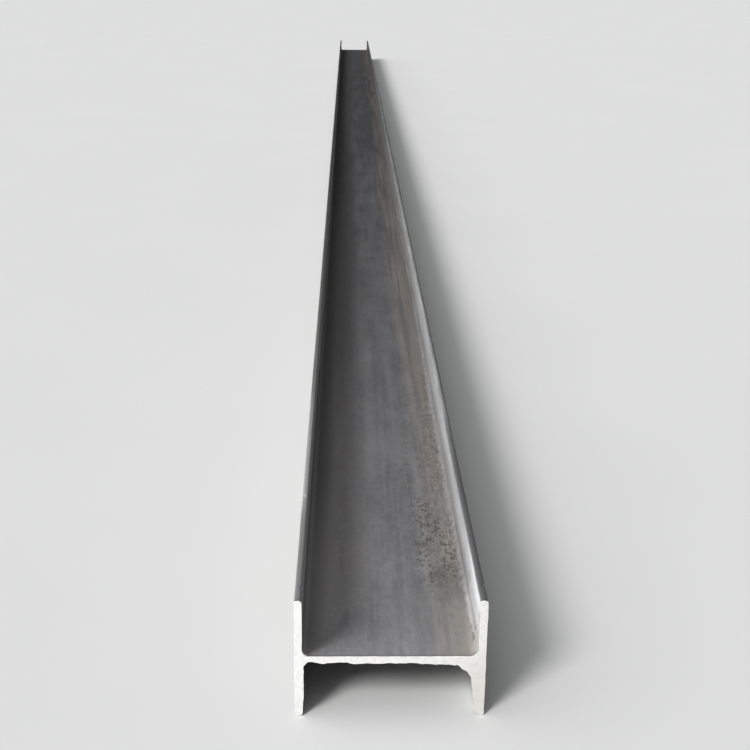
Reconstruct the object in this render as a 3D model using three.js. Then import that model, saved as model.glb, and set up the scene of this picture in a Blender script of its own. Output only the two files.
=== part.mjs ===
// Hot-rolled steel H-beam, 294 x 200 x 8 x 12, cut to a 12 m mill length. Millimetres, +Z up.
// The beam lies on its flange toes with the web level: X runs across the section from flange to
// flange, Y runs along the beam, and the origin is on the ground under the middle of the beam.

import * as THREE from 'three';

// Driving dimensions
const LENGTH = 12000; // over the two cut ends
const DEPTH = 294; // over the outer faces of the two flanges
const FLANGE_WIDTH = 200; // from toe to toe
const FLANGE_THICKNESS = 12;
const WEB_THICKNESS = 8;
const ROOT_RADIUS = 13; // hollow fillet that the rolls leave between web and flange
const TOE_RADIUS = 2.5; // rounding of the long corners of each flange

const ARC_SEGMENTS = 6; // an arc of the section gets twice this many facets

const QUARTER_TURN = Math.PI / 2;

const millScale = new THREE.MeshStandardMaterial({
  name: 'mill_steel',
  color: 0x6f7174,
  roughness: 0.55,
  metalness: 0.85,
});

// The section, centred on the web: x across from flange to flange, y up.
// Its outline runs anticlockwise and is all quarter arcs. The flats of the web, the flanges and
// the toes are the straight lines that join the end of one arc to the start of the next.
// The lower half is the upper half after half a turn, so both come from the same six arcs.
function rolledSection() {
  const outerFace = DEPTH / 2;
  const innerFace = outerFace - FLANGE_THICKNESS;
  const toeLine = FLANGE_WIDTH / 2;
  const webFace = WEB_THICKNESS / 2;
  const toe = Math.min(TOE_RADIUS, FLANGE_THICKNESS / 2);
  const root = Math.min(ROOT_RADIUS, innerFace, toeLine - toe - webFace);

  // A toe corner turns left round its centre and a root fillet turns right.
  const LEFT = 1;
  const RIGHT = -1;
  const section = new THREE.Shape();
  for (const half of [0, 2 * QUARTER_TURN]) {
    const side = Math.cos(half);
    const quarterArc = (x, y, radius, startQuarter, turn) => {
      const start = half + startQuarter * QUARTER_TURN;
      const end = start + turn * QUARTER_TURN;
      section.absarc(side * x, side * y, radius, start, end, turn === RIGHT);
    };
    quarterArc(outerFace - toe, toeLine - toe, toe, 0, LEFT);
    quarterArc(innerFace + toe, toeLine - toe, toe, 1, LEFT);
    quarterArc(innerFace - root, webFace + root, root, 0, RIGHT);
    quarterArc(root - innerFace, webFace + root, root, 3, RIGHT);
    quarterArc(-innerFace - toe, toeLine - toe, toe, 0, LEFT);
    quarterArc(toe - outerFace, toeLine - toe, toe, 1, LEFT);
  }
  section.closePath();
  return section;
}

// One solid bar: the section drawn out over the whole length, then laid level on its toes.
function rolledBeam() {
  const bar = new THREE.ExtrudeGeometry(rolledSection(), {
    depth: LENGTH,
    bevelEnabled: false,
    curveSegments: ARC_SEGMENTS,
  });
  const beam = new THREE.Mesh(bar, millScale);
  beam.name = 'h_beam';
  beam.rotation.x = QUARTER_TURN;
  beam.position.set(0, LENGTH / 2, FLANGE_WIDTH / 2);
  return beam;
}

const part = new THREE.Group();
part.add(rolledBeam());

export default part;
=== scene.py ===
"""Looks of a hot-rolled steel H-beam: the rolled body under its mill scale, the two sawn ends,
and a plain studio round them. Metres, +Z up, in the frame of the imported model.
X runs across the section from flange to flange, and Y runs along the beam."""

import math
import random

import bpy
import numpy as np
from mathutils import Matrix, Vector


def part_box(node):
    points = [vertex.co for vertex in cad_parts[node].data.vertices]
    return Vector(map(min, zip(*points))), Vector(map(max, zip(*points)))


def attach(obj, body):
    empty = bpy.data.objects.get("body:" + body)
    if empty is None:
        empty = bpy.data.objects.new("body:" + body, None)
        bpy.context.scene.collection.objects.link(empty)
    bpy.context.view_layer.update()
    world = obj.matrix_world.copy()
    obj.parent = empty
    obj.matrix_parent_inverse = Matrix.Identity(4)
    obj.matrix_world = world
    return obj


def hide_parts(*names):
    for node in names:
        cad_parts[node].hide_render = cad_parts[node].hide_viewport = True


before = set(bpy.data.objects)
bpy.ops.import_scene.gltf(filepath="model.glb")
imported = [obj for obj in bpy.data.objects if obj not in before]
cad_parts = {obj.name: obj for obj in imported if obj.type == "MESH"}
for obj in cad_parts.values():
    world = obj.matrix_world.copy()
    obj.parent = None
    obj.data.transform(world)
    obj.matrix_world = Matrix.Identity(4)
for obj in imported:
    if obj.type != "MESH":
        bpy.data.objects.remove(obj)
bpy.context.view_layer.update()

bl_info = {
    "name": "Steel H-Beam",
    "version": (1, 0, 0),
    "blender": (4, 5, 0),
    "location": "3D View > Sidebar > H-Beam",
    "description": "Makes the rolled body, the sawn ends and the studio of a steel H-beam",
    "category": "Object",
}

BEAM_NODE = "h_beam"
BODY = "root"

BEAM_LOW, BEAM_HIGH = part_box(BEAM_NODE)
NEAR_END = BEAM_LOW.y
FAR_END = BEAM_HIGH.y
MID_HEIGHT = (BEAM_LOW.z + BEAM_HIGH.z) / 2  # height of the web's middle
OUTER_FACE = BEAM_HIGH.x  # outer face of a flange, from the middle of the web
TOE_LINE = BEAM_HIGH.z - MID_HEIGHT  # ends of the flanges, from the middle of the web


def section_sizes():
    """Web face, flange inner face and root radius, read off the node's near end.
    The two faces are measured from the middle of the web."""
    corners = [
        (abs(v.co.x), abs(v.co.z - MID_HEIGHT))
        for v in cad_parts[BEAM_NODE].data.vertices
        if v.co.y < 0
    ]
    web_face = min(z for _, z in corners)
    root_start = min(x for x, _ in corners)
    inner_face = min(x for x, z in corners if z > TOE_LINE / 2)
    return web_face, inner_face, inner_face - root_start


WEB_FACE, INNER_FACE, ROOT_RADIUS = section_sizes()
WEB_TOP = MID_HEIGHT + WEB_FACE
FLANGE_MIDDLE = (INNER_FACE + OUTER_FACE) / 2  # middle of a flange's thickness
TOUCHING = 1e-6  # points closer than this are one point


# ---------------- settings


class BodySettings(bpy.types.PropertyGroup):
    """The rolled body: how straight its edges are and how its scale looks."""

    edge_wander: bpy.props.FloatProperty(
        name="Edge wander",
        description="How far the toes of the flanges stray inwards from straight lines",
        default=0.0007,
        min=0.0,
        max=0.003,
        unit="LENGTH",
    )
    toe_round: bpy.props.FloatProperty(
        name="Toe rounding",
        description="Radius that the rolls leave on the corners of the flange toes",
        default=0.0040,
        min=0.0005,
        max=0.0044,
        unit="LENGTH",
    )
    nick_count: bpy.props.IntProperty(
        name="Nicks",
        description="Handling nicks on the corners of the flange toes",
        default=44,
        min=0,
        max=60,
    )
    nick_depth: bpy.props.FloatProperty(
        name="Nick depth",
        description="Depth of the deepest nick",
        default=0.0024,
        min=0.0,
        max=0.005,
        unit="LENGTH",
    )
    scale_colour: bpy.props.FloatVectorProperty(
        name="Mill scale",
        description="Middle grey of the mill scale",
        subtype="COLOR",
        size=3,
        min=0.0,
        max=1.0,
        default=(0.128, 0.1274, 0.1311),
    )
    dust_colour: bpy.props.FloatVectorProperty(
        name="Rust dust",
        description="Tan band of dust and light rust beside the root fillets",
        subtype="COLOR",
        size=3,
        min=0.0,
        max=1.0,
        default=(0.1358, 0.1218, 0.1097),
    )


class EndSettings(bpy.types.PropertyGroup):
    """The two sawn ends."""

    skin: bpy.props.FloatProperty(
        name="Bright edge",
        description="Length of the bright edge that the saw leaves behind each end face",
        default=0.0022,
        min=0.0005,
        max=0.01,
        unit="LENGTH",
    )
    burr_raggedness: bpy.props.FloatProperty(
        name="Burr raggedness",
        description="How far the lip of the burr strays from its own line",
        default=0.0024,
        min=0.0,
        max=0.005,
        unit="LENGTH",
    )
    sawn_colour: bpy.props.FloatVectorProperty(
        name="Sawn steel",
        description="Colour of the bare sawn steel",
        subtype="COLOR",
        size=3,
        min=0.0,
        max=1.0,
        default=(0.430, 0.428, 0.419),
    )


class StudioSettings(bpy.types.PropertyGroup):
    """Floor, lights and camera."""

    floor_colour: bpy.props.FloatVectorProperty(
        name="Floor",
        description="Colour of the floor",
        subtype="COLOR",
        size=3,
        min=0.0,
        max=1.0,
        default=(0.80, 0.80, 0.79),
    )
    key_power: bpy.props.FloatProperty(
        name="Key light",
        description="Power of the key light, in watts",
        default=228.0,
        min=0.0,
        max=5000.0,
    )
    key_width: bpy.props.FloatProperty(
        name="Key size",
        description="Side of the square key light",
        default=1.1,
        min=0.05,
        max=5.0,
        unit="LENGTH",
    )
    side_power: bpy.props.FloatProperty(
        name="Side light",
        description="Power of the long low light from the left, in watts",
        default=135.0,
        min=0.0,
        max=5000.0,
    )
    front_power: bpy.props.FloatProperty(
        name="Front light",
        description="Power of the weak light from over the camera, in watts",
        default=86.0,
        min=0.0,
        max=5000.0,
    )
    floor_light: bpy.props.FloatProperty(
        name="Floor light",
        description="Strength of the soft light that falls on the floor alone",
        default=2.2,
        min=0.0,
        max=20.0,
    )
    low_light: bpy.props.FloatProperty(
        name="Low light",
        description="Strength of the weak light from low on the right and behind",
        default=1.1,
        min=0.0,
        max=20.0,
    )
    sky: bpy.props.FloatProperty(
        name="Sky",
        description="Brightness of the soft light from overhead",
        default=0.36,
        min=0.0,
        max=5.0,
    )
    lens: bpy.props.FloatProperty(
        name="Lens",
        description="Focal length on a 36 mm sensor, in millimetres",
        default=58.9,
        min=10.0,
        max=300.0,
    )


# ---------------- outline of the section


def spaced(start, end, step, support=0.0015):
    """Points from start to end, about a step apart, with a support point close to each end."""
    length = (Vector(end) - Vector(start)).length
    inside = max(1, round((length - 2 * support) / step))
    cuts = [0.0, *(support + (length - 2 * support) * i / inside for i in range(inside + 1)), length]
    return [tuple(Vector(start).lerp(Vector(end), cut / length)) for cut in cuts]


def quarter_arc(centre, radius, start, turn, segments):
    """Points of a quarter arc. start is in quarter turns, and turn is 1 for left or -1 for right."""
    angles = [(start + turn * i / segments) * math.pi / 2 for i in range(segments + 1)]
    return [(centre[0] + radius * math.cos(a), centre[1] + radius * math.sin(a)) for a in angles]


def section_outline(toe_round, step, root_segments=6, toe_segments=4):
    """The outline of the section about the middle of the web, anticlockwise seen from the near end."""
    root_x, root_z = INNER_FACE - ROOT_RADIUS, WEB_FACE + ROOT_RADIUS
    toe_z = TOE_LINE - toe_round
    quarter = [
        *spaced((OUTER_FACE, 0.0), (OUTER_FACE, toe_z), step),
        *quarter_arc((OUTER_FACE - toe_round, toe_z), toe_round, 0, 1, toe_segments),
        *spaced((OUTER_FACE - toe_round, TOE_LINE), (INNER_FACE + toe_round, TOE_LINE), step),
        *quarter_arc((INNER_FACE + toe_round, toe_z), toe_round, 1, 1, toe_segments),
        *spaced((INNER_FACE, toe_z), (INNER_FACE, root_z), step),
        *quarter_arc((root_x, root_z), ROOT_RADIUS, 0, -1, root_segments),
        *spaced((root_x, WEB_FACE), (0.0, WEB_FACE), step),
    ]
    left = [(-x, z) for x, z in reversed(quarter)]
    upper = quarter + left
    lower = [(-x, -z) for x, z in upper]
    outline = []
    for point in upper + lower:
        if not outline or math.dist(point, outline[-1]) > TOUCHING:
            outline.append(point)
    if math.dist(outline[0], outline[-1]) < TOUCHING:
        outline.pop()
    return np.array(outline)


def wander(places, spacing, seed):
    """A smooth seeded wander between -1 and 1 along places, with about one turn a spacing."""
    draw = random.Random(seed)
    at = (places - places.min()) / spacing
    heights = np.array([draw.uniform(-1, 1) for _ in range(int(at.max()) + 3)])
    knot = at.astype(int)
    share = at - knot
    share = share * share * (3 - 2 * share)
    return heights[knot] * (1 - share) + heights[knot + 1] * share


def stray(places, spacing, seed, most):
    """A smooth seeded wander between 0 and most."""
    return (wander(places, spacing, seed) + 1) / 2 * most


# ---------------- meshes


SHARP_ANGLE = math.radians(38)  # an edge that turns by more than this stays sharp


def shelf(name):
    """The collection of that name, made and linked to the scene the first time."""
    found = bpy.data.collections.get(name)
    if found is None:
        found = bpy.data.collections.new(name)
        bpy.context.scene.collection.children.link(found)
    return found


def closed_tube(name, rings):
    """A closed solid through rings of points, from the near ring to the far one, with flat ends.
    rings is an array of stations, points round the section, and x y z."""
    stations, around, _ = rings.shape
    faces = [list(range(around)), list(range(stations * around - 1, (stations - 1) * around - 1, -1))]
    for station in range(stations - 1):
        near, far = station * around, (station + 1) * around
        for i in range(around):
            j = (i + 1) % around
            faces.append((near + i, far + i, far + j, near + j))
    mesh = bpy.data.meshes.new(name)
    mesh.from_pydata(rings.reshape(-1, 3).tolist(), [], faces)
    mesh.shade_smooth()
    mesh.set_sharp_from_angle(angle=SHARP_ANGLE)
    mesh.validate()
    piece = bpy.data.objects.new(name, mesh)
    shelf("beam").objects.link(piece)
    return piece


def finish_piece(piece, material):
    """Gives a piece its material, and has it ride on the beam's body."""
    piece.data.materials.append(material)
    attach(piece, BODY)


# ---------------- node graphs


class Graph:
    """Short calls that add nodes to a material and join them."""

    def __init__(self, tree):
        self.tree = tree

    def node(self, kind, **settings):
        made = self.tree.nodes.new(kind)
        for key, value in settings.items():
            setattr(made, key, value)
        return made

    def feed(self, socket, value):
        if isinstance(value, bpy.types.NodeSocket):
            self.tree.links.new(value, socket)
        else:
            socket.default_value = value

    def math(self, operation, *values, clamp=False):
        made = self.node("ShaderNodeMath", operation=operation, use_clamp=clamp)
        for socket, value in zip(made.inputs, values):
            self.feed(socket, value)
        return made.outputs[0]

    def product(self, first, *others):
        for other in others:
            first = self.math("MULTIPLY", first, other)
        return first

    def add(self, value, layer, share):
        """value plus a share of another layer."""
        return self.math("MULTIPLY_ADD", layer, share, value)

    def vector_math(self, operation, vector, other):
        made = self.node("ShaderNodeVectorMath", operation=operation)
        self.feed(made.inputs[0], vector)
        self.feed(made.inputs[1], other)
        return made.outputs["Value" if operation in ("LENGTH", "DOT_PRODUCT") else "Vector"]

    def axes(self, place):
        made = self.node("ShaderNodeSeparateXYZ")
        self.feed(made.inputs[0], place)
        return made.outputs

    def object_place(self):
        return self.node("ShaderNodeTexCoord").outputs["Object"]

    def noise(self, place, stretch, detail=3.0, roughness=0.5, distortion=0.0):
        """Noise between 0 and 1, with stretch giving the turns a metre along x, y and z."""
        made = self.node("ShaderNodeTexNoise")
        self.feed(made.inputs["Vector"], self.vector_math("MULTIPLY", place, stretch))
        made.inputs["Scale"].default_value = 1.0
        made.inputs["Detail"].default_value = detail
        made.inputs["Roughness"].default_value = roughness
        made.inputs["Distortion"].default_value = distortion
        return made.outputs["Fac"]

    def specks(self, place, stretch, size, share):
        """Uneven specks over the plane of the web, 1 inside and 0 outside. stretch gives the cells a
        metre, size is the radius of the largest in cells, and share is how many cells hold one."""
        made = self.node("ShaderNodeTexVoronoi", voronoi_dimensions="2D")
        self.feed(made.inputs["Vector"], self.vector_math("MULTIPLY", place, stretch))
        made.inputs["Scale"].default_value = 1.0
        draw = self.node("ShaderNodeSeparateColor")
        self.feed(draw.inputs[0], made.outputs["Color"])
        reach = self.step(draw.outputs[0], 1 - share, 1.0, -0.15, size)
        edge = self.noise(place, tuple(3 * turns for turns in stretch), detail=2)
        reach = self.add(reach, self.math("SUBTRACT", edge, 0.5), 0.7)
        return self.step(self.math("SUBTRACT", reach, made.outputs["Distance"]), -0.17, 0.17)

    def step(self, value, low, high, start=0.0, end=1.0):
        """A smooth step from start to end as value goes from low to high."""
        made = self.node("ShaderNodeMapRange", interpolation_type="SMOOTHSTEP")
        for socket, given in zip(made.inputs, (value, low, high, start, end)):
            self.feed(socket, given)
        return made.outputs[0]

    def between(self, value, rise, fall):
        """1 between two smooth edges and 0 past them. rise and fall give the places of 0 and 1."""
        return self.product(self.step(value, *rise), self.step(value, fall[1], fall[0]))

    def mix(self, share, first, second):
        made = self.node("ShaderNodeMix", data_type="RGBA")
        self.feed(made.inputs["Factor"], share)
        colours = [s for s in made.inputs if s.type == "RGBA"]
        for socket, value in zip(colours, (first, second)):
            self.feed(socket, value)
        return next(s for s in made.outputs if s.type == "RGBA")

    def tint(self, colour, second, *shares):
        """The colour with a second one laid over it, by the product of the shares."""
        return self.mix(self.product(*shares), colour, second)

    def bump(self, height, strength, distance):
        made = self.node("ShaderNodeBump")
        made.inputs["Strength"].default_value = strength
        made.inputs["Distance"].default_value = distance
        self.feed(made.inputs["Height"], height)
        return made.outputs[0]


def shade(colour, factor):
    """A colour made lighter or darker, as RGBA."""
    return (*(min(1.0, c * factor) for c in colour[:3]), 1.0)


def new_material(name):
    material = bpy.data.materials.new(name)
    material.use_nodes = True
    return material, material.node_tree.nodes["Principled BSDF"]


# ---------------- mill scale


# Tints laid over the mill scale.
BROWN_SCALE = (0.111, 0.0982, 0.0925, 1.0)
# painted shade for the corner by the left root
CORNER_SHADE = (0.072, 0.068, 0.064, 1.0)
# painted shade for the left root
ROOT_SHADE = (0.022, 0.022, 0.022, 1.0)
# painted shade, over the left part of the web and in the right root fillet
SHADE_TONE = (0.060, 0.057, 0.054, 1.0)
PIT = (0.048, 0.045, 0.041, 1.0)
DIRTY_DUST = (0.070, 0.066, 0.061, 1.0)
SOOT = (0.060, 0.058, 0.056, 1.0)
OUTER_SCALE = (0.088, 0.083, 0.076, 1.0)
SHADED_SCALE = (0.040, 0.038, 0.036, 1.0)
FLAKED_SCALE = (0.036, 0.034, 0.032, 1.0)
BLOTCH = (0.062, 0.047, 0.048, 1.0)
RUST_BLOOM = (0.118, 0.090, 0.068, 1.0)
NEAR_SCUFF = (0.346, 0.345, 0.346, 1.0)
FAR_SCUFF = (0.499, 0.494, 0.478, 1.0)
# wear and painted light for the right root fillet
WORN_AND_LIT_FILLET = (0.276, 0.268, 0.257, 1.0)
# bare steel from rubbing, with painted light, for the toes
RUBBED_AND_LIT_TOE = (0.21, 0.209, 0.208, 1.0)
# dull scale, and painted shade for the right halves of the toes
DULL_AND_SHADED_TOE = (0.060, 0.060, 0.062, 1.0)
HEATED_SCALE = (0.042, 0.043, 0.050, 1.0)


class ScaleGraph(Graph):
    """The mill scale's graph, with the places and noises that its layers share."""

    def __init__(self, tree, settings):
        super().__init__(tree)
        self.scale = settings.scale_colour
        self.dust = settings.dust_colour
        place = self.place = self.object_place()
        axes = self.axes(place)
        self.x = axes["X"]
        self.along = self.math("SUBTRACT", axes["Y"], NEAR_END)
        self.from_cut = self.math("SUBTRACT", FAR_END, self.math("ABSOLUTE", axes["Y"]))
        self.off_middle = self.math("ABSOLUTE", self.x)
        self.off_web = self.math("ABSOLUTE", self.math("SUBTRACT", axes["Z"], MID_HEIGHT))
        self.bands = self.noise(place, (22, 0.25, 22), detail=2)
        self.streaks = self.noise(place, (120, 1.8, 120), detail=3, roughness=0.55)
        self.lines = self.noise(place, (420, 6.0, 420), detail=3, roughness=0.6)
        self.clouds = self.noise(place, (13, 5.0, 13), detail=6, roughness=0.62, distortion=0.5)
        self.mottle = self.noise(place, (130, 55, 130), detail=4, roughness=0.68)
        self.grit = self.noise(place, (620, 620, 620), detail=2)
        self.smears = self.noise(place, (36, 2.6, 36), detail=4, roughness=0.62)
        self.on_web = self.step(self.off_web, WEB_FACE + 0.024, WEB_FACE + 0.004)
        self.on_right = self.step(self.x, 0.0, 0.1)
        self.outside = self.step(self.off_middle, OUTER_FACE - 0.004, OUTER_FACE - 0.002)


def scale_tone(g):
    """The light and dark of the bare scale: long bands, streaks and lines, with clouds, mottle and,
    in the far two thirds, smears. The right half is darker about the middle of the beam."""
    tone = g.math("MULTIPLY_ADD", g.bands, 0.12, 0.045)
    for layer, share in ((g.streaks, 0.15), (g.lines, 0.10), (g.clouds, 0.32), (g.mottle, 0.22)):
        tone = g.add(tone, layer, share)
    smears = g.product(g.step(g.along, 1.5, 4.0), g.math("SUBTRACT", g.smears, 0.5))
    tone = g.add(tone, smears, 0.45)
    darker = g.product(g.between(g.along, (4.6, 5.1), (6.0, 7.0)), g.step(g.x, -0.03, 0.02))
    return g.add(tone, darker, -0.08)


def left_side(g, colour):
    """Brown over the left third of the web. Painted shade darkens the corner by the left root, the left
    part of the web along the middle stretch and the root from about two metres on; painted light
    brightens the web beside the root and the foot of the flange near the near end."""
    brown = g.product(g.step(g.x, -0.015, -0.08), g.step(g.clouds, 0.38, 0.62))
    colour = g.tint(colour, BROWN_SCALE, brown, g.step(g.streaks, 0.32, 0.66, 0.45, 0.85))
    # painted shade in the corner by the left root, strongest from about three quarters of a metre on
    corner = g.between(g.x, (-INNER_FACE, 0.006 - INNER_FACE), (-0.112, -0.098))
    colour = g.tint(colour, CORNER_SHADE, corner, g.step(g.along, 0.15, 0.75, 0.1, 0.45))
    # painted shade over the left part of the web along the middle stretch
    dim = g.product(g.between(g.along, (0.8, 1.8), (4.2, 6.5)), g.step(g.x, -0.02, -0.085))
    colour = g.tint(colour, SHADE_TONE, dim, 0.42)
    beside_root = g.step(g.x, -0.068, -0.100)
    # painted light on the web beside the left root near the near end
    root_light = g.product(beside_root, g.between(g.along, (0.04, 0.15), (0.25, 0.75)))
    colour = g.tint(colour, shade(g.scale, 1.7), root_light, g.on_web, 0.24)
    inside = g.step(g.off_middle, INNER_FACE + 0.002, INNER_FACE - 0.001)
    # painted light along the foot of the left flange near the near end
    foot = g.between(g.off_web, (WEB_FACE, WEB_FACE + 0.006), (WEB_FACE + 0.026, WEB_FACE + 0.056))
    foot = g.product(foot, inside, g.step(g.x, -0.119, -0.127))
    colour = g.tint(colour, shade(g.scale, 1.9), foot, g.step(g.along, 1.1, 0.5), 0.42)
    # painted shade over the left root from about two metres on
    return g.tint(colour, ROOT_SHADE, beside_root, inside, g.step(g.along, 1.8, 5.0), 0.52)


def scrapes(g, colour):
    """Faint light scrapes across the web, in a few patches."""
    marks = g.noise(g.place, (38, 120, 38), detail=4, roughness=0.6, distortion=1.4)
    patch = g.noise(g.place, (7, 2.4, 7), detail=2)
    return g.tint(
        colour, shade(g.scale, 1.9), g.step(marks, 0.60, 0.70), g.step(patch, 0.52, 0.64), g.on_web, 0.35
    )


def dust_band(g, colour):
    """Tan dust beside the right root fillets, drawn out into soft streaks. The band is narrowest
    near the near end and in the far half."""
    edge = g.add(g.add(g.x, g.bands, 0.05), g.clouds, 0.03)
    for narrower, share in ((g.step(g.along, 1.8, 0.9), -0.015), (g.step(g.along, 3.8, 5.2), -0.021)):
        edge = g.add(edge, narrower, share)
    beside_root = g.product(
        g.step(edge, 0.086, 0.130), g.step(g.x, INNER_FACE + 0.002, INNER_FACE - 0.012, 0.2, 1.0)
    )
    broken = g.add(g.math("MULTIPLY_ADD", g.streaks, 1.1, -0.3), g.mottle, 0.5)
    dusty = g.product(g.on_web, beside_root, g.step(broken, 0.25, 0.70, 0.55, 1.0))
    tan = g.mix(
        g.step(g.add(g.streaks, g.mottle, 0.8), 0.75, 1.05), shade(g.dust, 0.88), shade(g.dust, 1.13)
    )
    drawn_out = g.noise(g.place, (58, 1.2, 58), detail=4, roughness=0.6)
    farther = g.step(g.along, 1.0, 2.4)
    tan = g.tint(tan, shade(g.dust, 1.36), farther, g.step(drawn_out, 0.50, 0.60))
    tan = g.tint(tan, shade(g.dust, 0.66), farther, g.step(drawn_out, 0.50, 0.40))
    tan = g.tint(tan, shade(g.dust, 1.5), farther, g.step(g.x, 0.098, 0.114), 0.45)
    return g.tint(colour, tan, dusty, 0.85), dusty


def rust_blotches(g, colour):
    """Purple-brown rust blotches on the right half of the web, between half way and the far end."""
    stretch = g.between(g.along, (5.6, 7.0), (9.0, 10.6))
    return g.tint(
        colour, BLOTCH, stretch, g.step(g.x, 0.0, 0.05), g.on_web, g.step(g.smears, 0.46, 0.60), 0.6
    )


def dust_pits(g, colour):
    """Dark pits of two sizes in the dust and light crusts round them. They are worst a quarter to
    half a metre from the near end, where a foul patch lies by the root."""
    small = g.math("MULTIPLY", g.specks(g.place, (240, 150, 240), 0.56, 0.90), 0.75)
    pits = g.math("MAXIMUM", g.specks(g.place, (150, 90, 150), 0.57, 0.82), small)
    crowd = g.noise(g.place, (34, 11, 34), detail=3)
    worst = g.between(g.along, (0.04, 0.25), (0.36, 0.70))
    bad = g.between(g.along, (0.18, 0.40), (0.65, 1.00))
    patches = g.noise(g.place, (12, 1.1, 12), detail=4, roughness=0.6)
    for layer, share in ((bad, 0.08), (worst, 0.13), (g.step(g.along, 0.22, 0.04), -0.07)):
        patches = g.add(patches, layer, share)
    rough = g.product(
        g.step(patches, 0.47, 0.62), g.on_web, g.step(g.x, 0.038, 0.080, 0.05, 1.0)
    )
    colour = g.tint(colour, shade(g.dust, 1.35), g.step(g.mottle, 0.48, 0.62), rough, 0.36)
    pitted = g.product(
        pits, g.step(crowd, 0.34, 0.56, 0.30, 1.0), rough, g.step(worst, 0.0, 1.0, 0.68, 1.0)
    )
    colour = g.tint(colour, PIT, pitted, 0.80)
    foul = g.product(
        g.between(g.along, (0.14, 0.20), (0.26, 0.36)), g.step(g.x, 0.066, 0.096), g.on_web
    )
    colour = g.tint(colour, PIT, foul, g.step(crowd, 0.34, 0.58), 0.34)
    dirty = g.product(g.step(g.along, 0.34, 0.06), g.step(g.x, 0.03, 0.085), g.on_web)
    return g.tint(colour, DIRTY_DUST, dirty, 0.28), pitted


def right_root(g, colour):
    """The right root fillet: lighter and grainy as far as two metres from the near end, from wear and
    painted light, and darkened with painted shade for the next few, with a sooty line over it near the end."""
    ragged = g.math("MULTIPLY_ADD", g.mottle, 0.007, g.math("SUBTRACT", g.off_web, WEB_FACE + 0.0035))
    fillet = g.product(g.between(ragged, (0.0002, 0.005), (0.011, 0.020)), g.step(g.x, 0.115, 0.124))
    grain = g.product(
        g.step(g.streaks, 0.30, 0.62, 0.55, 1.0), g.step(g.mottle, 0.36, 0.62, 0.50, 1.25)
    )
    # the fillet lighter near the near end, from wear and painted light
    colour = g.tint(colour, WORN_AND_LIT_FILLET, fillet, grain, g.step(g.along, 1.3, 2.1, 0.42, 0.0))
    # painted shade in the right root fillet over the middle stretch
    sunk = g.product(fillet, g.between(g.along, (1.5, 2.1), (3.4, 7.0)))
    colour = g.tint(colour, SHADE_TONE, sunk, 0.22)
    above = g.between(g.off_web, (WEB_FACE + 0.006, WEB_FACE + 0.012), (WEB_FACE + 0.018, WEB_FACE + 0.026))
    foul = g.between(g.along, (0.20, 0.27), (0.38, 0.52))
    soot = g.add(g.noise(g.place, (60, 2.2, 60), detail=4, roughness=0.65), foul, 0.12)
    line = g.product(above, g.step(g.x, 0.12, 0.13), g.step(soot, 0.46, 0.64))
    return g.tint(colour, SOOT, line, g.step(foul, 0.0, 1.0, 0.10, 0.78))


def flange_scuffs(g, colour, toe, left_half, dull_end):
    """Light scuffs on the flanges, most on their inner faces and towards the toes. On the right flange near
    the near end they are more and brighter, as painted light, and they carry painted light onto the inner
    half of the right toe; on the left flange near the near end they are fewer, as painted shade, and
    painted shade dims them towards the far end. The upper part of the left flange's inner face is lighter
    from a few metres on."""
    scuffs = g.noise(g.place, (95, 4.5, 95), detail=6, roughness=0.66)
    scuffs = g.math("MULTIPLY_ADD", g.mottle, 0.3, g.math("MULTIPLY", scuffs, 0.7))
    towards_toe = g.step(g.off_web, WEB_FACE + 0.012, TOE_LINE, 0.36, 0.66)
    towards_toe = g.math("MAXIMUM", towards_toe, g.step(g.along, 0.25, 0.9, 0.0, 0.52))
    # painted light: more and brighter scuffs on the right flange near the near end
    near_right = g.product(g.step(g.along, 0.30, 0.02), g.on_right)
    towards_toe = g.math("MAXIMUM", towards_toe, g.step(near_right, 0.0, 0.6, 0.0, 0.58))
    # painted light carried by the scuffs onto the inner half of the right toe
    on_toe = g.product(g.on_right, left_half, g.step(dull_end, 0.0, 1.0, 1.0, 0.12))
    # painted shade: fewer scuffs on the left flange near the near end
    near_left = g.product(g.step(g.x, 0.1, -0.1), g.step(g.along, 1.4, 0.8))
    scuffed = g.product(
        g.step(g.off_middle, INNER_FACE - 0.006, INNER_FACE),
        g.step(scuffs, 0.37, 0.62, 0.38, 1.0),
        towards_toe,
        g.math("MAXIMUM", g.math("SUBTRACT", 1.0, toe), on_toe),
        g.step(g.outside, 0.0, 1.0, 1.0, 0.22),
        g.step(near_left, 0.0, 1.0, 1.0, 0.55),
    )
    # brighter near the near end on the right flange: painted light
    lit_and_shaded_scuff = g.mix(near_right, NEAR_SCUFF, shade(NEAR_SCUFF, 1.63))
    lit_and_shaded_scuff = g.mix(g.step(g.along, 0.9, 2.6), lit_and_shaded_scuff, FAR_SCUFF)
    # painted shade dims the scuffs towards the far end
    lit_and_shaded_scuff = g.mix(g.step(g.along, 6.0, 9.0), lit_and_shaded_scuff, shade(FAR_SCUFF, 0.49))
    colour = g.mix(scuffed, colour, lit_and_shaded_scuff)
    far_left = g.product(g.step(g.x, 0.0, -0.1), g.step(g.along, 2.4, 4.6))
    upper = g.step(g.off_web, WEB_FACE + 0.018, WEB_FACE + 0.045)
    inner = g.product(far_left, upper, g.step(g.off_middle, INNER_FACE + 0.002, INNER_FACE))
    return g.tint(colour, FAR_SCUFF, inner, g.step(scuffs, 0.30, 0.60, 0.5, 1.0), 0.36)


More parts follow.
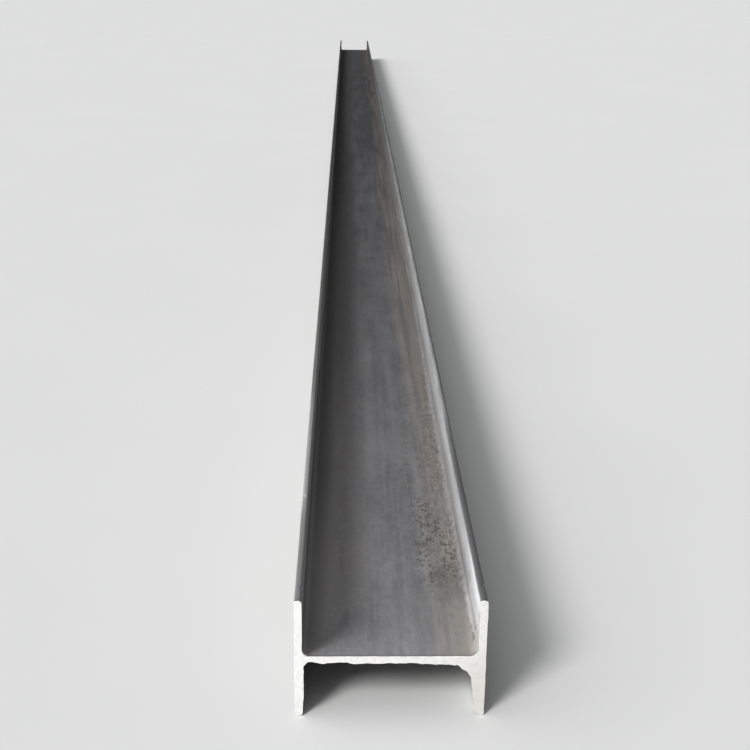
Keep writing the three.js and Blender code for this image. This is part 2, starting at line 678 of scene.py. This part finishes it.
def near_corner(g, colour):
    """Dust and a few dark specks low on the right flange, in the last hand's breadth of it."""
    low = g.product(g.step(g.off_web, WEB_FACE + 0.040, WEB_FACE + 0.008), g.step(g.x, 0.112, 0.124))
    dusty = g.product(low, g.step(g.along, 0.18, 0.03), g.step(g.streaks, 0.30, 0.62, 0.6, 1.0))
    colour = g.tint(colour, shade(g.dust, 1.08), dusty, 0.70)
    specks = g.noise(g.place, (90, 60, 90), detail=3)
    at_root = g.product(low, g.step(g.x, INNER_FACE - 0.007, INNER_FACE - 0.002))
    last = g.between(g.along, (0.02, 0.04), (0.08, 0.11))
    return g.tint(colour, PIT, at_root, last, g.step(specks, 0.48, 0.60), 0.75)


def outer_faces(g, colour):
    """The outer faces: duller and browner scale, the left one darkest with painted shade, with flaked
    patches, faint rust blooms and long thin scratches."""
    colour = g.tint(colour, OUTER_SCALE, g.outside, g.step(g.clouds, 0.30, 0.66, 0.5, 1.0), 0.8)
    on_left = g.step(g.x, 0.1, -0.1, 0.0, 0.65)
    # painted shade over the left outer face
    colour = g.tint(colour, SHADED_SCALE, g.outside, on_left)
    flakes = g.noise(g.place, (30, 7, 30), detail=7, roughness=0.70, distortion=0.4)
    colour = g.tint(colour, shade(g.scale, 0.95), g.outside, g.step(flakes, 0.51, 0.36), 0.40)
    colour = g.tint(colour, FLAKED_SCALE, g.outside, g.step(flakes, 0.50, 0.64), 0.42)
    bloom = g.noise(g.place, (9, 2.6, 9), detail=6, roughness=0.66, distortion=0.3)
    colour = g.tint(
        colour,
        RUST_BLOOM,
        g.outside,
        g.step(bloom, 0.52, 0.68),
        g.step(g.mottle, 0.36, 0.60, 0.3, 1.0),
        0.55,
    )
    scratches = g.noise(g.place, (360, 1.6, 360), detail=3, roughness=0.7)
    return g.tint(colour, shade(g.scale, 1.9), g.outside, g.step(scratches, 0.60, 0.68), 0.45)


def rubbed_and_lit_toes(g, colour, toe, left_half, dull_end):
    """The toes, bared in places along their left halves by rubbing and brightened there with painted light,
    most a third of a metre to a metre from the near end; their right halves are darkened with painted
    shade. The right toe is dull near its end, and the left one in the far half."""
    most = g.between(g.along, (0.20, 0.42), (0.78, 1.0))
    rub = g.add(g.noise(g.place, (60, 5.0, 60), detail=4, roughness=0.6), most, 0.16)
    rubbed_and_lit = g.product(
        toe,
        left_half,
        g.step(rub, 0.36, 0.62),
        g.math("SUBTRACT", 1.0, dull_end),
        g.step(g.x, 0.1, 0.0),
        g.step(g.along, 0.85, 1.05, 1.0, 0.6),
    )
    # brighter a third of a metre to a metre from the near end: painted light
    bare = g.mix(most, RUBBED_AND_LIT_TOE, shade(RUBBED_AND_LIT_TOE, 1.5))
    colour = g.tint(colour, bare, rubbed_and_lit, g.step(most, 0.0, 1.0, 0.55, 0.80))
    # painted shade over the right half of each toe
    kept = g.product(toe, g.math("SUBTRACT", 1.0, left_half), 0.6)
    dull = g.product(toe, dull_end, 0.92)
    far_left = g.product(toe, g.step(g.x, 0.1, -0.1), g.step(g.along, 2.5, 6.0), 0.55)
    dull = g.math("MAXIMUM", dull, far_left)
    return g.mix(g.math("MAXIMUM", kept, dull), colour, DULL_AND_SHADED_TOE), rubbed_and_lit


def mill_scale(settings):
    """Blue-grey mill scale: brown on the left, a tan dusty band with dark pits beside the right
    roots, scuffed flanges, toes lighter from rubbing, and a line at each cut from the saw's heat.
    Painted light and painted shade are laid in along the left of the web, on the roots, the flanges and the
    toes."""
    material, shader = new_material("mill_scale")
    g = ScaleGraph(material.node_tree, settings)
    tone = scale_tone(g)
    colour = g.mix(g.step(tone, 0.36, 0.64), shade(g.scale, 0.74), shade(g.scale, 1.28))
    colour = left_side(g, colour)
    colour = scrapes(g, colour)
    colour, dusty = dust_band(g, colour)
    colour = rust_blotches(g, colour)
    colour, pitted = dust_pits(g, colour)
    colour = right_root(g, colour)

    toe = g.step(g.off_web, TOE_LINE - 0.0045, TOE_LINE - 0.0012)
    left_toe = g.step(g.x, 0.0035 - FLANGE_MIDDLE, 0.0005 - FLANGE_MIDDLE)
    right_toe = g.step(g.x, FLANGE_MIDDLE + 0.004, FLANGE_MIDDLE)
    left_half = g.product(g.math("MAXIMUM", left_toe, g.on_right), right_toe)
    dull_end = g.product(g.on_right, g.step(g.along, 1.1, 0.3))
    colour = flange_scuffs(g, colour, toe, left_half, dull_end)
    colour = near_corner(g, colour)
    colour = outer_faces(g, colour)
    colour, rubbed_and_lit = rubbed_and_lit_toes(g, colour, toe, left_half, dull_end)
    heated = g.product(g.step(g.from_cut, 0.009, 0.003), g.step(g.mottle, 0.30, 0.60, 0.5, 1.0))
    colour = g.tint(colour, HEATED_SCALE, heated, 0.55)

    roughness = g.math("MULTIPLY_ADD", tone, 0.5, 0.29)
    roughness = g.math("MULTIPLY_ADD", dusty, 0.22, roughness)
    roughness = g.math("MULTIPLY_ADD", rubbed_and_lit, -0.12, roughness, clamp=True)
    metal = g.math("MULTIPLY_ADD", rubbed_and_lit, 0.30, 0.25)
    metal = g.math("MULTIPLY_ADD", dusty, -0.22, metal, clamp=True)
    relief = g.math("MULTIPLY", g.lines, 0.35)
    for layer, share in ((g.mottle, 0.7), (g.grit, 0.30), (pitted, -0.5)):
        relief = g.add(relief, layer, share)

    g.feed(shader.inputs["Base Color"], colour)
    g.feed(shader.inputs["Roughness"], roughness)
    g.feed(shader.inputs["Metallic"], metal)
    g.feed(shader.inputs["Normal"], g.bump(relief, strength=0.32, distance=0.0005))
    shader.inputs["Specular IOR Level"].default_value = 0.28
    return material


# ---------------- sawn steel and floor


BLADE_MIDDLE = (0.30, 0.0, 0.95)  # where the middle of the saw blade passed
BLADE_MARK_PITCH = 0.0017
STAIN = (0.335, 0.325, 0.300, 1.0)
END_SPECK = (0.20, 0.18, 0.16, 1.0)


def sawn_steel(settings):
    """Bare bright steel with the shallow arcs that the saw blade leaves, and a few dull specks."""
    material, shader = new_material("sawn_steel")
    g = Graph(material.node_tree)
    bare = settings.sawn_colour
    place = g.object_place()
    axes = g.axes(place)

    from_blade = g.vector_math("SUBTRACT", place, BLADE_MIDDLE)
    in_plane = g.vector_math("MULTIPLY", from_blade, (1, 0, 1))
    reach = g.vector_math("LENGTH", in_plane, (0, 0, 0))
    phase = g.math("MULTIPLY", reach, 2 * math.pi / BLADE_MARK_PITCH)
    phase = g.add(phase, g.noise(place, (30, 30, 30), detail=2), 9.0)
    marks = g.math("MULTIPLY_ADD", g.math("SINE", phase), 0.5, 0.5)

    mottle = g.noise(place, (140, 140, 140), detail=4, roughness=0.6)
    colour = g.mix(g.step(mottle, 0.32, 0.68), shade(bare, 0.91), shade(bare, 1.08))
    colour = g.tint(colour, shade(bare, 0.6), marks, 0.10)
    right_of_low = g.math("SUBTRACT", axes["X"], g.math("SUBTRACT", axes["Z"], MID_HEIGHT))
    low_right = g.product(g.step(right_of_low, 0.06, 0.20), 0.6)
    patchy = g.step(g.noise(place, (17, 17, 17), detail=3), 0.50, 0.72, 0.0, 0.25)
    colour = g.mix(g.math("MAXIMUM", patchy, low_right), colour, STAIN)
    specks = g.step(g.noise(place, (330, 330, 330), detail=2), 0.70, 0.76)
    colour = g.tint(colour, END_SPECK, specks, 0.6)

    g.feed(shader.inputs["Base Color"], colour)
    g.feed(shader.inputs["Roughness"], g.step(mottle, 0.25, 0.75, 0.38, 0.55))
    g.feed(
        shader.inputs["Normal"], g.bump(g.add(marks, mottle, 0.8), strength=0.30, distance=0.0002)
    )
    shader.inputs["Metallic"].default_value = 0.25
    return material


def studio_floor(settings):
    """Matt pale floor with a trace of unevenness."""
    material, shader = new_material("studio_floor")
    g = Graph(material.node_tree)
    tone = g.noise(g.object_place(), (1.3, 1.3, 1.3), detail=4)
    pale = settings.floor_colour
    colour = g.mix(g.step(tone, 0.3, 0.7), shade(pale, 0.985), shade(pale, 1.0))
    g.feed(shader.inputs["Base Color"], colour)
    shader.inputs["Roughness"].default_value = 1.0
    shader.inputs["Specular IOR Level"].default_value = 0.0
    return material


# ---------------- rolled body


RING_STEP = 0.050
CLOSEST_RINGS = 0.0004
BODY_POINT_STEP = 0.016
CALM_LENGTH = 0.05  # the toes settle to clean lines over this length before each cut
LEAN_SPACING = 0.55  # spacings of the toes' wander, sideways and in height
SHORTFALL_SPACING = 0.38
LEAN_SEED = 40
SHORTFALL_SEED = 50
NICK_SEED = 20
NICK_MARGIN = 0.03  # length at each end that holds no nick
NICK_BREADTH = 0.0045  # how far a nick reaches round the section
NICK_PUSH = 0.6  # share of its depth that a nick also leans to the flange's middle


def nicks(settings):
    """Seeded handling nicks: place along the beam, toe corner, depth and half length."""
    draw = random.Random(NICK_SEED)
    stretch = FAR_END - NEAR_END - 2 * NICK_MARGIN
    return [
        {
            "y": NEAR_END + NICK_MARGIN + stretch * draw.random() ** 1.5,
            "x": draw.choice((-1, 1)) * draw.choice((INNER_FACE, OUTER_FACE)),
            "z": draw.choice((-1, 1, 1)) * TOE_LINE,
            "depth": settings.nick_depth * draw.uniform(0.35, 1.0),
            "reach": draw.uniform(0.004, 0.013),
        }
        for _ in range(settings.nick_count)
    ]


def body_stations(settings, start, end):
    """Places along the beam that get a ring: even steps, with more of them across each nick."""
    places = list(np.linspace(start, end, round((end - start) / RING_STEP) + 1))
    for nick in nicks(settings):
        for share in (-2.0, -1.2, -0.6, -0.2, 0.2, 0.6, 1.2, 2.0):
            places.append(nick["y"] + share * nick["reach"])
    places = sorted(p for p in places if start <= p <= end)
    kept = [places[0]]
    for place in places[1:]:
        if place - kept[-1] > CLOSEST_RINGS:
            kept.append(place)
    kept[-1] = end
    return np.array(kept)


def rolled_rings(settings, start, end):
    """Rings of the rolled body, with wandering toes and nicked corners, never outside the section."""
    outline = section_outline(settings.toe_round, BODY_POINT_STEP)
    stations = body_stations(settings, start, end)
    rings = np.zeros((len(stations), len(outline), 3))
    rings[:, :, 0] = outline[:, 0]
    rings[:, :, 1] = stations[:, None]
    rings[:, :, 2] = outline[:, 1]

    calm = np.clip(np.minimum(stations - start, end - stations) / CALM_LENGTH, 0, 1)
    for toe, (side, half) in enumerate([(1, 1), (-1, 1), (1, -1), (-1, -1)]):
        mine = (outline[:, 0] * side > INNER_FACE - TOUCHING) & (outline[:, 1] * half > 0)
        lean = (np.abs(outline[:, 1]) / TOE_LINE) ** 2 * mine
        inwards = stray(stations, LEAN_SPACING, LEAN_SEED + toe, settings.edge_wander) * calm
        rings[:, :, 0] -= side * inwards[:, None] * lean
        at_toe = np.clip((outline[:, 1] * half - TOE_LINE / 2) / (TOE_LINE / 2), 0, 1) * mine
        shorter = stray(stations, SHORTFALL_SPACING, SHORTFALL_SEED + toe, settings.edge_wander) * calm
        rings[:, :, 2] -= half * shorter[:, None] * at_toe

    for nick in nicks(settings):
        along = np.exp(-(((stations - nick["y"]) / nick["reach"]) ** 2)) * calm
        gap = np.hypot(outline[:, 0] - nick["x"], outline[:, 1] - nick["z"])
        across = np.exp(-((gap / NICK_BREADTH) ** 2))
        push = nick["depth"] * along[:, None] * across
        middle = math.copysign(FLANGE_MIDDLE, nick["x"])
        rings[:, :, 2] -= math.copysign(1, nick["z"]) * push
        rings[:, :, 0] += math.copysign(NICK_PUSH, middle - nick["x"]) * push
    rings[:, :, 2] += MID_HEIGHT
    return rings


class HBEAM_OT_rolled_body(bpy.types.Operator):
    """Make the rolled body: web, flanges and root fillets under their mill scale"""

    bl_idname = "hbeam.rolled_body"
    bl_label = "Rolled Body"

    def execute(self, context):
        settings = context.scene.hbeam_body
        skin = context.scene.hbeam_ends.skin
        rings = rolled_rings(settings, NEAR_END + skin, FAR_END - skin)
        piece = closed_tube("rolled_body", rings)
        finish_piece(piece, mill_scale(settings))
        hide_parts(BEAM_NODE)
        return {"FINISHED"}


# ---------------- sawn ends


# The torn tongue that the saw leaves across the lower right corner of the near end: it spans from
# the web's underside to the inner face of the flange. Heights are from the middle of the web.
TONGUE_ON_WEB = Vector((0.1035, -WEB_FACE - 0.0060))
TONGUE_ON_FLANGE = Vector((INNER_FACE - 0.0093, -0.0321))

# The burr round the lower bay: places on the bay's outline, from the left toe up, along the web
# and down to the right toe, and how far the burr stands into the bay there.
NEAR_BURR = [
    ((-INNER_FACE, -TOE_LINE), 0.0003),
    ((-INNER_FACE, -0.070), 0.0016),
    ((-INNER_FACE, -0.020), 0.0019),
    ((-0.110, -WEB_FACE), 0.0021),
    ((-0.020, -WEB_FACE), 0.0026),
    ((0.060, -WEB_FACE), 0.0038),
    ((TONGUE_ON_WEB.x, -WEB_FACE), 0.0060),
    ((INNER_FACE, TONGUE_ON_FLANGE.y), 0.0093),
    ((INNER_FACE, -0.072), 0.0067),
    ((INNER_FACE, -0.093), 0.0035),
    ((INNER_FACE, -TOE_LINE), 0.0004),
]
FAR_BURR = [
    ((-INNER_FACE, -TOE_LINE), 0.0003),
    ((-INNER_FACE, -0.050), 0.0010),
    ((-0.100, -WEB_FACE), 0.0022),
    ((0.090, -WEB_FACE), 0.0016),
    ((INNER_FACE, -0.050), 0.0015),
    ((INNER_FACE, -TOE_LINE), 0.0003),
]
EDGE_BREAK = 0.0009  # how far the other edges of an end face are broken back or rolled over
EDGE_BREAK_SPACING = 0.012
RAGGED_SPACINGS = ((0.017, 0.65), (0.005, 0.35))  # coarse and fine raggedness, and their shares
FULLY_RAGGED = 0.001  # a burr lower than this is less ragged
BAY_PIVOT_DROP = 0.001  # the bay's points are sorted round a place this far under its toes
FACE_POINT_STEP = 0.0022
FACE_ROOT_SEGMENTS = 12


def outward(outline):
    """Unit normals of an anticlockwise outline, pointing out of the metal."""
    along = np.roll(outline, -1, axis=0) - np.roll(outline, 1, axis=0)
    along /= np.linalg.norm(along, axis=1)[:, None]
    return np.column_stack([along[:, 1], -along[:, 0]])


def run_along(points):
    """Length of the path from the first point to each of the points."""
    return np.concatenate([[0], np.cumsum(np.linalg.norm(np.diff(points, axis=0), axis=1))])


def nearest(points, place):
    """Index of the point that lies nearest to a place."""
    return int(np.argmin(np.hypot(points[:, 0] - place[0], points[:, 1] - place[1])))


def lower_bay(outline):
    """Indices of the outline's points round the lower bay, from the left toe to the right toe."""
    between_flanges = np.abs(outline[:, 0]) < INNER_FACE + TOUCHING
    bay = np.flatnonzero(between_flanges & (outline[:, 1] < -WEB_FACE + TOUCHING))
    turn = np.arctan2(outline[bay, 1] + TOE_LINE + BAY_PIVOT_DROP, outline[bay, 0])
    return bay[np.argsort(-turn)]


def burred(outline, burr, raggedness, seed, tongue):
    """The outline of an end face, with a ragged burr into its lower bay and broken edges."""
    made = outline.copy()
    normals = outward(outline)
    breaks = stray(run_along(outline), EDGE_BREAK_SPACING, seed + 2, EDGE_BREAK)
    made -= normals * breaks[:, None]

    bay = lower_bay(outline)
    lip = outline[bay]
    run = run_along(lip)
    height = np.interp(run, [run[nearest(lip, place)] for place, _ in burr], [h for _, h in burr])
    ragged = raggedness * sum(
        share * wander(run, spacing, seed + i) for i, (spacing, share) in enumerate(RAGGED_SPACINGS)
    )
    height += ragged * np.clip(height / FULLY_RAGGED, 0, 1)
    made[bay] = lip + normals[bay] * np.clip(height, 0, None)[:, None]
    if tongue:
        on_web = nearest(lip, (TONGUE_ON_WEB.x, -WEB_FACE))
        on_flange = nearest(lip, (INNER_FACE, TONGUE_ON_FLANGE.y))
        span = slice(on_web, on_flange + 1)
        part = (run[span] - run[on_web]) / (run[on_flange] - run[on_web])
        edge = np.outer(1 - part, TONGUE_ON_WEB) + np.outer(part, TONGUE_ON_FLANGE)
        into_bay = np.array((-math.sqrt(0.5), -math.sqrt(0.5)))
        made[bay[span]] = edge + np.outer(ragged[span] * np.sin(part * math.pi), into_bay)
    return made


def end_rings(settings, toe_round, face, back, burr, seed, tongue=False):
    """The rings of a sawn end: its face with the burr, and the clean section behind it."""
    clean = section_outline(toe_round, FACE_POINT_STEP, FACE_ROOT_SEGMENTS)
    torn = burred(clean, burr, settings.burr_raggedness, seed, tongue)
    rings = []
    for outline, y in ((torn, face), (clean, back)):
        height = outline[:, 1] + MID_HEIGHT
        rings.append(np.column_stack([outline[:, 0], np.full(len(outline), y), height]))
    if face > back:
        rings.reverse()
    return np.array(rings)


class HBEAM_OT_sawn_ends(bpy.types.Operator):
    """Make the two sawn ends: bright end faces with the burr that the saw leaves"""

    bl_idname = "hbeam.sawn_ends"
    bl_label = "Sawn Ends"

    def execute(self, context):
        settings = context.scene.hbeam_ends
        toe_round = context.scene.hbeam_body.toe_round
        skin = settings.skin
        bare = sawn_steel(settings)
        near = end_rings(settings, toe_round, NEAR_END, NEAR_END + skin, NEAR_BURR, 3, tongue=True)
        far = end_rings(settings, toe_round, FAR_END, FAR_END - skin, FAR_BURR, 8)
        finish_piece(closed_tube("near_cut_face", near), bare)
        finish_piece(closed_tube("far_cut_face", far), bare)
        return {"FINISHED"}


# ---------------- studio


FLOOR_REACH = 120.0
FLOOR_SIDES = 96
FLOOR_GAP = 0.0002  # keeps the floor clear of the toes that stand on it
CAMERA_PLACE = Vector((-0.068, NEAR_END - 1.629, 1.125))
CAMERA_DOWN = math.radians(19.12)
CAMERA_RIGHT = math.radians(1.39)
CAMERA_ROLL = math.radians(0.62)

# The lights are aimed at the middle of the web at the near end, or past it by an aim of their own.
NEAR_WEB = Vector((0.0, NEAR_END, WEB_TOP))

# The key light, seen from there.
KEY_DISTANCE = 4.0
KEY_LEFT = math.radians(47)
KEY_UP = math.radians(36)
SIDE_PLACE = Vector((-2.3, NEAR_END - 0.6, 0.68))
SIDE_AIM = Vector((0, 1.2, 0))
SIDE_SIZE = (2.2, 0.4)
FRONT_PLACE = Vector((-0.3, NEAR_END - 2.6, 2.1))
FRONT_AIM = Vector((0, 0.4, 0))
FRONT_SIZE = (1.4, 1.0)

# The soft overhead light is strongest from the upper left and weakest from low on the right.
SKY_FROM = Vector((-0.62, -0.12, 0.77))
SKY_WEAKEST = 0.14
SKY_STRONGEST = 2.8
SKY_TINT = (0.97, 0.985, 1.0, 1.0)
BACKDROP = (0.7275, 0.7342, 0.7297, 1.0)  # what the camera sees past the floor

# The floor has a soft light of its own, so that it stays evenly pale along the whole beam.
FLOOR_LIGHT_FROM = Vector((-2.5, -2.9, 3.0))
FLOOR_LIGHT_SPREAD = math.radians(18)

# A weak light from low on the right and behind, so that the outer right face and the far end show.
LOW_LIGHT_FROM = Vector((4.2, 2.6, 0.06))
LOW_LIGHT_SPREAD = math.radians(12)


def aim(thing, target):
    thing.rotation_euler = (Vector(target) - thing.location).to_track_quat("-Z", "Y").to_euler()


def area_light(name, place, target, power, size):
    data = bpy.data.lights.new(name, "AREA")
    data.energy = power
    data.shape = "RECTANGLE"
    data.size, data.size_y = size
    hang_light(data, place, target, "beam")


def sun_light(name, towards, strength, spread, falls_on):
    data = bpy.data.lights.new(name, "SUN")
    data.energy = strength
    data.angle = spread
    hang_light(data, NEAR_WEB + towards, NEAR_WEB, falls_on)


def hang_light(data, place, target, falls_on):
    """Places a light that falls only on the objects of one shelf, and that the camera never sees."""
    light = bpy.data.objects.new(data.name, data)
    light.location = place
    aim(light, target)
    light.visible_camera = False
    light.light_linking.receiver_collection = shelf(falls_on)
    bpy.context.scene.collection.objects.link(light)


def make_floor(settings):
    mesh = bpy.data.meshes.new("floor")
    turns = [2 * math.pi * i / FLOOR_SIDES for i in range(FLOOR_SIDES)]
    rim = [(FLOOR_REACH * math.cos(t), FLOOR_REACH * math.sin(t), 0) for t in turns]
    mesh.from_pydata(rim, [], [list(range(FLOOR_SIDES))])
    floor = bpy.data.objects.new("floor", mesh)
    floor.location.z = BEAM_LOW.z - FLOOR_GAP
    mesh.materials.append(studio_floor(settings))
    shelf("ground").objects.link(floor)


def make_sky(scene, settings):
    """Soft light that is strongest overhead, and a pale backdrop where the camera sees past the floor."""
    world = bpy.data.worlds.new("studio_sky")
    world.use_nodes = True
    scene.world = world
    g = Graph(world.node_tree)
    world.node_tree.nodes.clear()
    direction = g.node("ShaderNodeTexCoord").outputs["Generated"]
    facing = g.vector_math("DOT_PRODUCT", direction, SKY_FROM.normalized())
    strength = g.step(facing, 0.25, 0.97, SKY_WEAKEST * settings.sky, SKY_STRONGEST * settings.sky)
    seen = g.node("ShaderNodeLightPath").outputs["Is Camera Ray"]
    soft = g.node("ShaderNodeBackground")
    g.feed(soft.inputs["Strength"], strength)
    soft.inputs["Color"].default_value = SKY_TINT
    backdrop = g.node("ShaderNodeBackground")
    backdrop.inputs["Color"].default_value = BACKDROP
    both = g.node("ShaderNodeMixShader")
    g.feed(both.inputs[0], seen)
    g.feed(both.inputs[1], soft.outputs[0])
    g.feed(both.inputs[2], backdrop.outputs[0])
    out = g.node("ShaderNodeOutputWorld")
    g.feed(out.inputs["Surface"], both.outputs[0])


def make_lights(settings):
    level = math.cos(KEY_UP)
    towards_key = Vector((-math.sin(KEY_LEFT) * level, -math.cos(KEY_LEFT) * level, math.sin(KEY_UP)))
    side = (settings.key_width, settings.key_width)
    area_light("key", NEAR_WEB + towards_key * KEY_DISTANCE, NEAR_WEB, settings.key_power, side)
    area_light("side", SIDE_PLACE, NEAR_WEB + SIDE_AIM, settings.side_power, SIDE_SIZE)
    area_light("front", FRONT_PLACE, NEAR_WEB + FRONT_AIM, settings.front_power, FRONT_SIZE)
    sun_light("floor_light", FLOOR_LIGHT_FROM, settings.floor_light, FLOOR_LIGHT_SPREAD, "ground")
    sun_light("low_light", LOW_LIGHT_FROM, settings.low_light, LOW_LIGHT_SPREAD, "beam")


def make_camera(scene, settings):
    data = bpy.data.cameras.new("camera")
    data.sensor_width = 36.0
    data.lens = settings.lens
    data.clip_start, data.clip_end = 0.05, 300.0
    camera = bpy.data.objects.new("camera", data)
    turn = Matrix.Rotation(-CAMERA_RIGHT, 4, "Z")
    tilt = Matrix.Rotation(math.pi / 2 - CAMERA_DOWN, 4, "X")
    roll = Matrix.Rotation(CAMERA_ROLL, 4, "Z")
    camera.matrix_world = Matrix.Translation(CAMERA_PLACE) @ turn @ tilt @ roll
    scene.collection.objects.link(camera)
    scene.camera = camera


class HBEAM_OT_studio(bpy.types.Operator):
    """Make the floor, the lights and the camera"""

    bl_idname = "hbeam.studio"
    bl_label = "Studio"

    def execute(self, context):
        scene = context.scene
        settings = scene.hbeam_studio
        make_camera(scene, settings)
        make_floor(settings)
        make_sky(scene, settings)
        make_lights(settings)
        scene.view_settings.view_transform = "Standard"
        scene.view_settings.look = "None"
        return {"FINISHED"}


# ---------------- panel and registration


class HBEAM_PT_panel(bpy.types.Panel):
    """Sizes, colours and operators of the H-beam"""

    bl_idname = "HBEAM_PT_panel"
    bl_label = "H-Beam"
    bl_space_type = "VIEW_3D"
    bl_region_type = "UI"
    bl_category = "H-Beam"

    def draw(self, context):
        scene = context.scene
        for operator, settings in (
            (HBEAM_OT_rolled_body, scene.hbeam_body),
            (HBEAM_OT_sawn_ends, scene.hbeam_ends),
            (HBEAM_OT_studio, scene.hbeam_studio),
        ):
            box = self.layout.box()
            for key in settings.__annotations__:
                box.prop(settings, key)
            box.operator(operator.bl_idname)


SETTINGS = {
    "hbeam_body": BodySettings,
    "hbeam_ends": EndSettings,
    "hbeam_studio": StudioSettings,
}
OPERATORS = (HBEAM_OT_rolled_body, HBEAM_OT_sawn_ends, HBEAM_OT_studio)


def register():
    for made in (*SETTINGS.values(), *OPERATORS, HBEAM_PT_panel):
        bpy.utils.register_class(made)
    for name, group in SETTINGS.items():
        setattr(bpy.types.Scene, name, bpy.props.PointerProperty(type=group))


def unregister():
    for name in SETTINGS:
        delattr(bpy.types.Scene, name)
    for made in reversed((*SETTINGS.values(), *OPERATORS, HBEAM_PT_panel)):
        bpy.utils.unregister_class(made)


def main():
    register()
    bpy.ops.hbeam.rolled_body()
    bpy.ops.hbeam.sawn_ends()
    bpy.ops.hbeam.studio()


if __name__ == "__main__":
    main()
